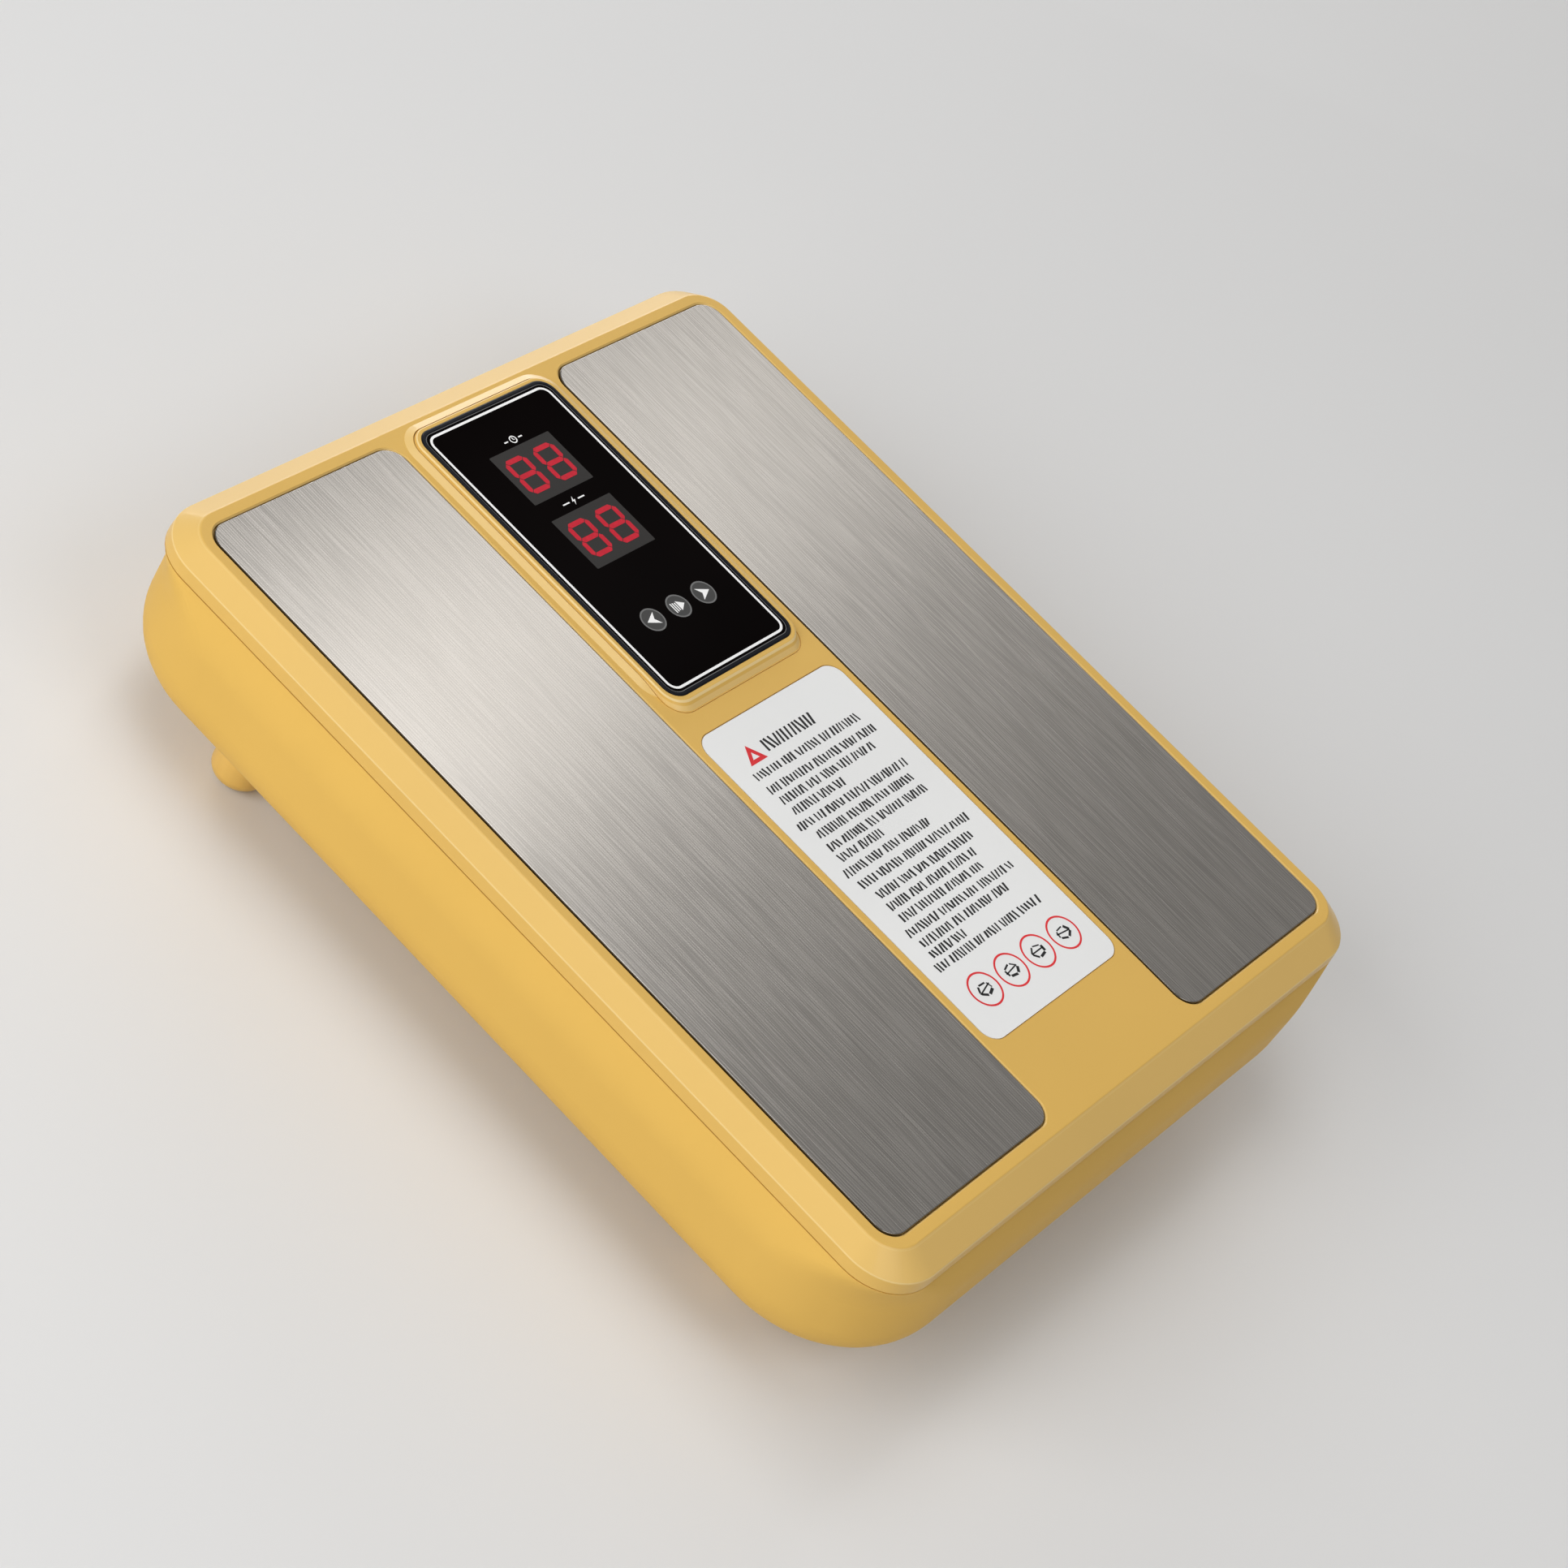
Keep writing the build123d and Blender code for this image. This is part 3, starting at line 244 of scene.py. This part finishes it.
# White print; its slight glow is painted light, since the print is no lamp.
white_print_painted_glow = material("white_print_painted_glow", (0.86, 0.86, 0.86), rough=0.45, vary=0.03, grain=5000.0,
                       bump=0.05, glow=0.12)
print_dark = material("print_dark", (0.008, 0.008, 0.009), rough=0.6, vary=0.25,
                      vary_scale=900.0, grain=5000.0, bump=0.05)
print_red = material("print_red", (0.74, 0.022, 0.030), rough=0.5, vary=0.08, grain=5000.0,
                     bump=0.05)
led_window = material("led_window", (0.022, 0.020, 0.019), rough=0.35, vary=0.1, grain=3000.0,
                      bump=0.03, specular=0.3)
led_red = material("led_red", (0.52, 0.012, 0.030), rough=0.4, vary=0.10, vary_scale=700.0,
                   grain=4000.0, bump=0.03, specular=0.2, glow=0.10)
key_grey = material("key_grey", (0.045, 0.045, 0.045), rough=0.4, vary=0.1, grain=4000.0,
                    bump=0.05)
# Grey of the rings round the keys, also used for a painted highlight round the glass edge.
key_ring_and_edge_highlight = material("key_ring_and_edge_highlight", (0.16, 0.16, 0.16), rough=0.4, vary=0.1, grain=4000.0,
                    bump=0.05)
led_body = material("led_body", (0.05, 0.05, 0.052), rough=0.45, vary=0.1, grain=2500.0)
board = material("solder_mask", (0.02, 0.16, 0.06), rough=0.35, vary=0.25, vary_scale=320.0,
                 grain=1400.0, bump=0.12, coat=0.3)
chip = material("chip_resin", (0.018, 0.018, 0.018), rough=0.55, vary=0.15, grain=4000.0,
                bump=0.15)
copper = material("enamelled_copper", (0.62, 0.23, 0.08), rough=0.28, metal=1.0, vary=0.12,
                  vary_scale=60.0, grain=900.0, stretch=(1.0, 1.0, 3.0), bump=0.35, coat=0.4)
tray = material("tray_nylon", (0.62, 0.61, 0.56), rough=0.55, vary=0.04, grain=2200.0, bump=0.1)
fins = material("extruded_aluminium", (0.70, 0.71, 0.72), rough=0.35, metal=1.0, vary=0.05,
                grain=900.0, stretch=(1.0, 0.05, 1.0), bump=0.12)
sleeve = material("can_sleeve", (0.02, 0.03, 0.08), rough=0.3, vary=0.1, grain=1200.0,
                  bump=0.03, coat=0.3)
ferrite = material("ferrite", (0.05, 0.05, 0.055), rough=0.7, vary=0.2, vary_scale=300.0,
                   grain=2600.0, bump=0.3)
tape = material("winding_tape", (0.66, 0.50, 0.06), rough=0.28, vary=0.06, grain=500.0,
                stretch=(1.0, 1.0, 6.0), bump=0.1, coat=0.3)
nylon = material("connector_nylon", (0.66, 0.63, 0.54), rough=0.5, vary=0.05, grain=2600.0)
fan_black = material("fan_moulding", (0.022, 0.022, 0.024), rough=0.45, vary=0.15,
                     grain=2600.0, bump=0.1)
rotor_black = material("rotor_moulding", (0.032, 0.032, 0.035), rough=0.38, vary=0.15,
                       grain=2600.0, bump=0.08)
panel_black = material("panel_moulding", (0.022, 0.022, 0.024), rough=0.6, vary=0.15,
                       grain=1500.0, bump=0.3, wear_and_sheen=0.25)
socket_black = material("socket_moulding", (0.016, 0.016, 0.018), rough=0.42, vary=0.15,
                        grain=2600.0, bump=0.08, wear_and_sheen=0.2)
rocker_black = material("rocker_moulding", (0.02, 0.02, 0.022), rough=0.25, vary=0.12,
                        grain=2600.0, bump=0.04, coat=0.3, wear_and_sheen=0.2)
brass = material("plated_brass", (0.70, 0.55, 0.28), rough=0.25, metal=1.0, vary=0.1,
                 vary_scale=300.0, grain=2600.0, bump=0.05)
fuse_glass = material("fuse_glass", (0.55, 0.62, 0.60), rough=0.08, vary=0.1,
                      vary_scale=200.0, grain=900.0, bump=0.01, coat=0.5)
rubber = material("foot_rubber", (0.03, 0.03, 0.03), rough=0.75, vary=0.2, grain=2000.0,
                  bump=0.25)
foam = material("pad_foam", (0.06, 0.06, 0.065), rough=0.85, vary=0.2, grain=1800.0, bump=0.4)
sensor = material("sensor_rubber", (0.12, 0.12, 0.12), rough=0.7, vary=0.1, grain=2600.0)
grey_cable = material("flat_cable", (0.32, 0.33, 0.35), rough=0.5, vary=0.05, grain=420.0,
                      stretch=(6.0, 1.0, 1.0), bump=0.25)
red_wire = material("red_insulation", (0.45, 0.02, 0.015), rough=0.4, vary=0.1, grain=2000.0)
brown_wire = material("brown_insulation", (0.13, 0.05, 0.02), rough=0.4, vary=0.1,
                      grain=2000.0)
black_wire = material("black_insulation", (0.02, 0.02, 0.02), rough=0.4, vary=0.1,
                      grain=2000.0)

finish = {
    "top_cover": gold_cover, "bottom_tub": gold_tub, "rear_feet": gold, "front_feet": gold,
    "left_foot_plate": steel, "right_foot_plate": steel,
    "left_plate_pad": foam, "right_plate_pad": foam,
    "display_glass": glass_black, "display_gasket": rim_black, "info_label": film_white,
    "display_board": board, "main_board": board, "power_board": board,
    "display_chip": chip, "controller_chip": chip, "power_transistors": chip,
    "time_led_module": led_body, "energy_led_module": led_body, "touch_sensors": sensor,
    "left_coil": copper, "right_coil": copper,
    "left_coil_tray": tray, "right_coil_tray": tray,
    "board_capacitors": sleeve, "bulk_capacitor": sleeve, "heatsink": fins,
    "transformer_core": ferrite, "transformer_winding": tape, "board_connectors": nylon,
    "fan_frame": fan_black, "fan_rotor": rotor_black, "rear_panel": panel_black,
    "inlet_body": socket_black, "switch_body": socket_black, "fuse_holder": socket_black,
    "fuse_holder_nut": socket_black, "fuse_cap": rocker_black, "switch_rocker": rocker_black,
    "inlet_pins": brass, "switch_terminals": brass, "fuse": fuse_glass,
    "foot_pads": rubber, "display_ribbon": grey_cable, "coil_leads": red_wire,
    "mains_wires": brown_wire, "fan_lead": black_wire,
}
for name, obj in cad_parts.items():
    mat = finish.get(name, zinc)
    obj.data.materials.clear()
    obj.data.materials.append(mat)


# ------------------------------------------------------------ printed and lit details
PRINT_T = 0.04             # mm, thickness of a print
FILM_T = 0.03              # mm, thickness of the thinner prints
RING_T = 0.05              # mm, thickness of the rings round the keys


def flat_piece(name, shapes, z, mat, thick=PRINT_T):
    """Thin raised print: closed outlines in mm, some with a hole, standing on height z."""
    bm = bmesh.new()
    for outer, inner in shapes:
        rings = []
        for level in (z, z + thick):
            ring = [bm.verts.new((x * MM, y * MM, level * MM)) for x, y in outer]
            hole = [bm.verts.new((x * MM, y * MM, level * MM)) for x, y in inner or []]
            rings.append((ring, hole))
        n = len(outer)
        (low, low_in), (top, top_in) = rings
        for i in range(n):
            j = (i + 1) % n
            bm.faces.new((low[i], low[j], top[j], top[i]))
            if inner:
                bm.faces.new((low_in[j], low_in[i], top_in[i], top_in[j]))
                bm.faces.new((top[i], top[j], top_in[j], top_in[i]))
                bm.faces.new((low[j], low[i], low_in[i], low_in[j]))
        if not inner:
            bm.faces.new(top)
            bm.faces.new(low[::-1])
    bmesh.ops.recalc_face_normals(bm, faces=bm.faces)
    mesh = bpy.data.meshes.new(name)
    bm.to_mesh(mesh)
    bm.free()
    mesh.materials.append(mat)
    obj = bpy.data.objects.new(name, mesh)
    scene.collection.objects.link(obj)
    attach(obj, "casing")
    return obj


def round_box(cx, cy, w, h, r, steps=8):
    """Rounded rectangle outline."""
    points = []
    for sx, sy, start in ((1, 1, 0), (-1, 1, 90), (-1, -1, 180), (1, -1, 270)):
        for i in range(steps + 1):
            a = math.radians(start + 90 * i / steps)
            points.append((cx + sx * (w / 2 - r) + r * math.cos(a),
                           cy + sy * (h / 2 - r) + r * math.sin(a)))
    return points


def circle(cx, cy, r, steps=40):
    """Round outline."""
    points = []
    for i in range(steps):
        a = 2 * math.pi * i / steps
        points.append((cx + r * math.cos(a), cy + r * math.sin(a)))
    return points


def stroke(x0, y0, x1, y1, w):
    """Straight bar between two points."""
    length = math.hypot(x1 - x0, y1 - y0)
    nx = -(y1 - y0) / length * w / 2
    ny = (x1 - x0) / length * w / 2
    return [(x0 + nx, y0 + ny), (x0 - nx, y0 - ny), (x1 - nx, y1 - ny), (x1 + nx, y1 + ny)]


def mm_box(node):
    """A node's corners in mm."""
    low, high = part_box(node)
    return [v / MM for v in low], [v / MM for v in high]


glass_low, glass_high = mm_box("display_glass")
glass_top = glass_high[2]
gx = (glass_low[0] + glass_high[0]) / 2
gy = (glass_low[1] + glass_high[1]) / 2
gw = glass_high[0] - glass_low[0]
gl = glass_high[1] - glass_low[1]

line_w = 0.9
line_r = 4.0
frame_w = gw - 2.6
frame_l = gl - 2.6
flat_piece("display_white_line",
           [(round_box(gx, gy, frame_w, frame_l, line_r),
             round_box(gx, gy, frame_w - 2 * line_w, frame_l - 2 * line_w, line_r - line_w))],
           glass_top, white_print_painted_glow)
# A thin grey line round the glass edge: a painted highlight of the gasket rim.
flat_piece("glass_edge_painted_highlight", [(round_box(gx, gy, gw - 0.25, gl - 0.25, 4.5),
                                round_box(gx, gy, gw - 0.75, gl - 0.75, 4.25))],
           glass_top, key_ring_and_edge_highlight, FILM_T)

# Read-outs: a window for each module, with two digits of seven pointed bars.
digit_side = 7.0           # middle of a digit from the middle of the window
digit_w = 10.4
digit_h = 15.2
bar_t = 1.9
bar_gap = 0.18
tip = bar_t / 2
windows = []
segments = []
for node in ("time_led_module", "energy_led_module"):
    low, high = mm_box(node)
    cx = (low[0] + high[0]) / 2
    cy = (low[1] + high[1]) / 2
    windows.append((round_box(cx, cy, high[0] - low[0], high[1] - low[1], 0.4, 3), None))
    for side in (-1, 1):
        dx = cx + side * digit_side
        half = (digit_h - bar_t) / 2
        for sy in (-1, 0, 1):
            y = cy + sy * half
            x = digit_w / 2 - tip - bar_gap
            segments.append(([(dx - x, y), (dx - x + tip, y + tip), (dx + x - tip, y + tip),
                              (dx + x, y), (dx + x - tip, y - tip), (dx - x + tip, y - tip)],
                             None))
        for sx in (-1, 1):
            for sy in (-1, 1):
                x = dx + sx * (digit_w - bar_t) / 2
                y0 = cy + (bar_gap if sy > 0 else -half + bar_gap)
                y1 = cy + (half - bar_gap if sy > 0 else -bar_gap)
                segments.append(([(x, y0), (x + tip, y0 + tip), (x + tip, y1 - tip),
                                  (x, y1), (x - tip, y1 - tip), (x - tip, y0 + tip)], None))
flat_piece("led_windows", windows, glass_top, led_window, FILM_T)
flat_piece("led_segments", segments, glass_top + FILM_T, led_red)

# Small generic marks above each read-out: a clock, and a bolt, each between two dashes.
marks = []
mark_y = mm_box("time_led_module")[1][1] + 2.6
marks.append((circle(gx, mark_y, 1.55), circle(gx, mark_y, 1.15)))
marks.append((stroke(gx, mark_y, gx, mark_y + 0.85, 0.35), None))
marks.append((stroke(gx, mark_y, gx + 0.6, mark_y - 0.2, 0.35), None))
for side in (-1, 1):
    marks.append((stroke(gx + side * 2.6, mark_y, gx + side * 4.4, mark_y, 0.5), None))
mark_y = mm_box("energy_led_module")[1][1] + 3.2
bolt = [(0.5, 1.7), (-0.9, -0.2), (-0.05, -0.2), (-0.5, -1.7), (0.9, 0.25), (0.05, 0.25)]
marks.append(([(gx + x, mark_y + y) for x, y in bolt], None))
for side in (-1, 1):
    marks.append((stroke(gx + side * 2.2, mark_y, gx + side * 5.4, mark_y, 0.5), None))
flat_piece("display_marks", marks, glass_top, white_print_painted_glow)

# Touch keys: ringed discs with a back arrow, a step-and-play sign and a forward arrow.
sensor_low, sensor_high = mm_box("touch_sensors")
key_y = (sensor_low[1] + sensor_high[1]) / 2
key_r = (sensor_high[1] - sensor_low[1]) / 2
pitch = (sensor_high[0] - sensor_low[0]) / 2 - key_r
key_xs = (gx - pitch, gx, gx + pitch)
flat_piece("key_discs", [(circle(x, key_y, key_r - 0.5), None) for x in key_xs], glass_top,
           key_grey, FILM_T)
flat_piece("key_rings", [(circle(x, key_y, key_r), circle(x, key_y, key_r - 0.55))
                         for x in key_xs], glass_top, key_ring_and_edge_highlight, RING_T)
signs = []
arrow = [(-2.9, 0.0), (2.2, 2.5), (0.6, 0.0), (2.2, -2.5)]
signs.append(([(key_xs[0] + x, key_y + y) for x, y in arrow], None))
signs.append(([(key_xs[2] - x, key_y + y) for x, y in arrow][::-1], None))
for i, h in enumerate((2.0, 1.8, 1.6)):
    x = key_xs[1] - 2.5 + i * 0.95
    signs.append((stroke(x, key_y - h, x, key_y + h, 0.45), None))
signs.append(([(key_xs[1] + 0.1, key_y + 2.0), (key_xs[1] + 0.1, key_y - 2.0),
               (key_xs[1] + 3.0, key_y)], None))
flat_piece("key_signs", signs, glass_top + FILM_T, white_print_painted_glow)

# Label: leaning strokes stand in for its print, an empty triangle and rings for its signs.
label_low, label_high = mm_box("info_label")
lx = (label_low[0] + label_high[0]) / 2
label_top = label_high[2]
label_back = label_high[1]
label_len = label_high[1] - label_low[1]
rng = random.Random(7)
ticks = []
# Each row: its distance from the rear edge as a share of the length, then its ends in mm
# from the middle of the label.
rows = ((0.155, -29.5, 27.5), (0.200, -29.3, 28.3), (0.237, -28.4, 23.0), (0.274, -27.8, 1.0),
        (0.315, -31.5, 29.0), (0.355, -27.4, 26.0), (0.396, -28.0, 25.5), (0.431, -28.0, -4.0),
        (0.471, -31.3, 16.4), (0.513, -29.8, 29.5), (0.556, -27.2, 24.8), (0.595, -27.6, 20.2),
        (0.633, -27.2, 18.2), (0.673, -30.2, 28.4), (0.711, -28.8, 20.0), (0.745, -29.2, -10.5),
        (0.780, -31.8, 27.2))
for part, start, stop in rows:
    y = label_back - part * label_len
    x = lx + start
    word = 0
    while x < lx + stop:
        if word == 0:
            word = rng.randint(3, 10)
            x += 1.0
            continue
        h = rng.choice((1.3, 1.45, 1.6, 1.6))
        lean = rng.uniform(-0.42, 0.42)
        ticks.append((stroke(x - lean, y - h, x + lean, y + h, rng.uniform(0.62, 0.95)), None))
        x += rng.uniform(1.4, 1.9)
        word -= 1
flat_piece("label_small_print", ticks, label_top, print_dark)

head_half = 2.3
heads = []
y = label_back - 0.098 * label_len
x = lx - 15.0
while x < lx + 10.5:
    lean = rng.uniform(-0.75, 0.75)
    heads.append((stroke(x - lean, y - head_half, x + lean, y + head_half,
                         rng.uniform(0.85, 1.05)), None))
    x += rng.uniform(1.95, 2.35)
flat_piece("label_heading", heads, label_top, print_dark)


def triangle(cx, cy, r):
    """Triangle outline, point to the rear, slightly flattened."""
    points = []
    for corner in (90, 210, 330):
        a = math.radians(corner)
        points.append((cx + r * math.cos(a), cy + 0.93 * r * math.sin(a)))
    return points


tri_x = lx - 22.0
tri_y = label_back - 0.108 * label_len
red = [(triangle(tri_x, tri_y, 5.0), triangle(tri_x, tri_y, 1.9))]
ring_y = label_back - 0.884 * label_len
ring_xs = [lx - 21.8 + i * 15.0 for i in range(4)]
ring_outer = 6.55
ring_inner = 5.85
for x in ring_xs:
    red.append((circle(x, ring_y, ring_outer, 56), circle(x, ring_y, ring_inner, 56)))
flat_piece("label_red_print", red, label_top, print_red)

# Inside each ring a ring of short bars and one across, turned a little more each time.
blobs = []
for i, x in enumerate(ring_xs):
    lean = 0.25 + 0.5 * i
    for k in range(5):
        a = lean + k * 1.25
        px = x + 2.7 * math.cos(a)
        py = ring_y + 1.9 * math.sin(a)
        blobs.append((stroke(px - 1.5 * math.sin(a), py + 1.1 * math.cos(a),
                             px + 1.5 * math.sin(a), py - 1.1 * math.cos(a),
                             0.5 + 0.14 * k), None))
    blobs.append((stroke(x - 3.3, ring_y - 0.7 + 0.4 * i, x + 3.1, ring_y + 1.0 - 0.4 * i, 0.5),
                  None))
flat_piece("label_ring_marks", blobs, label_top, print_dark)

# ------------------------------------------------------------ floor, light and camera
FLOOR_HALF = 9
FLOOR_Z = -0.0002          # a hair below the rubber pads
floor_mesh = bpy.data.meshes.new("floor")
floor_mesh.from_pydata([(x * FLOOR_HALF, y * FLOOR_HALF, FLOOR_Z)
                        for x, y in ((-1, -1), (1, -1), (1, 1), (-1, 1))], [], [(0, 1, 2, 3)])
floor = bpy.data.objects.new("floor", floor_mesh)
scene.collection.objects.link(floor)
floor_mesh.materials.append(material("floor_paper", (0.80, 0.80, 0.80), rough=0.8, vary=0.01,
                                     vary_scale=2.0, grain=300.0, bump=0.02))

# The sky is even, apart from a bright window ahead of the camera that the plates mirror.
SKY_BASE = 0.30
world = bpy.data.worlds.new("studio")
scene.world = world
world.use_nodes = True
sky_tree = world.node_tree
back = sky_tree.nodes["Background"]
sky = split_axes(sky_tree, add_node(sky_tree, "ShaderNodeTexCoord", {})["Generated"])


def sky_band(stops, low, high):
    """Brightness by the sky's Y direction, fading in between two heights and towards +X."""
    strip = sky_tree.nodes.new("ShaderNodeValToRGB")
    strip.color_ramp.interpolation = "EASE"
    for place, tone in stops[1:-1]:
        strip.color_ramp.elements.new(place)
    for element, (place, tone) in zip(strip.color_ramp.elements, stops):
        element.position = place
        element.color = (tone, tone, tone, 1)
    masks = [map_range(sky_tree, sky[axis], {"From Min": start, "From Max": stop}, "SMOOTHSTEP")
             for axis, start, stop in (("Z", low, high), ("X", 0.0, 0.4))]
    return feed(sky_tree, strip, {"Fac": sky["Y"]})["Color"], calc(sky_tree, "MULTIPLY", *masks)


wide, wide_mask = sky_band(((0.0, 0.20), (0.14, 0.21), (0.19, 0.34), (0.235, 0.50),
                            (0.27, 0.66), (0.305, 0.50), (0.34, 0.30), (0.42, 0.16)), 0.45, 0.60)
peak, peak_mask = sky_band(((0.0, 0.0), (0.22, 0.0), (0.27, 1.55), (0.305, 1.55),
                            (0.34, 0.1), (0.40, 0.0)), 0.61, 0.73)
even = calc(sky_tree, "MULTIPLY_ADD", calc(sky_tree, "SUBTRACT", wide, SKY_BASE), wide_mask,
            SKY_BASE)
glare = calc(sky_tree, "MULTIPLY", peak, peak_mask)
sky_tree.links.new(calc(sky_tree, "ADD", even, glare), back.inputs["Strength"])
back.inputs["Color"].default_value = (1.0, 0.985, 0.965, 1)


AIM = Vector((0, 0, 0.05))     # middle of the appliance


def softbox(name, place, size_x, size_y, power):
    """Area light in metres and watts, aimed at the middle of the appliance."""
    data = bpy.data.lights.new(name, "AREA")
    data.shape = "RECTANGLE"
    data.size = size_x
    data.size_y = size_y
    data.energy = power
    lamp = bpy.data.objects.new(name, data)
    scene.collection.objects.link(lamp)
    lamp.location = place
    lamp.rotation_euler = (AIM - Vector(place)).to_track_quat("-Z", "Y").to_euler()
    return lamp


# The key light is mostly kept out of reflections, so that the plates don't burn out.
KEY_PLACE = (-1.95, 0.62, 1.15)
key = softbox("key_left", KEY_PLACE, 2.0, 1.3, 31.5)
key.visible_glossy = False
softbox("key_sheen", KEY_PLACE, 2.0, 1.3, 3.5)
softbox("overhead", (-0.25, 0.60, 2.1), 1.7, 0.9, 10.4)
softbox("front_fill", (-0.4, -1.1, 1.7), 1.2, 0.8, 5.6)
softbox("rim_rear", (1.6, 1.6, 0.38), 1.6, 0.6, 17.0)

camera_data = bpy.data.cameras.new("camera")
camera = bpy.data.objects.new("camera", camera_data)
scene.collection.objects.link(camera)
camera_data.sensor_fit = "HORIZONTAL"
camera_data.sensor_width = 36.0
camera_data.lens = 93.9
camera_data.clip_start = 0.05
CAMERA_PLACE = (-0.94897, -0.28041, 0.91547)
right = Vector((0.58517, -0.68756, 0.42993))
up = Vector((0.36105, 0.69564, 0.62107))
turn = Matrix((right, up, right.cross(up))).transposed()
camera.matrix_world = Matrix.Translation(CAMERA_PLACE) @ turn.to_4x4()
scene.camera = camera
scene.view_settings.view_transform = "Standard"
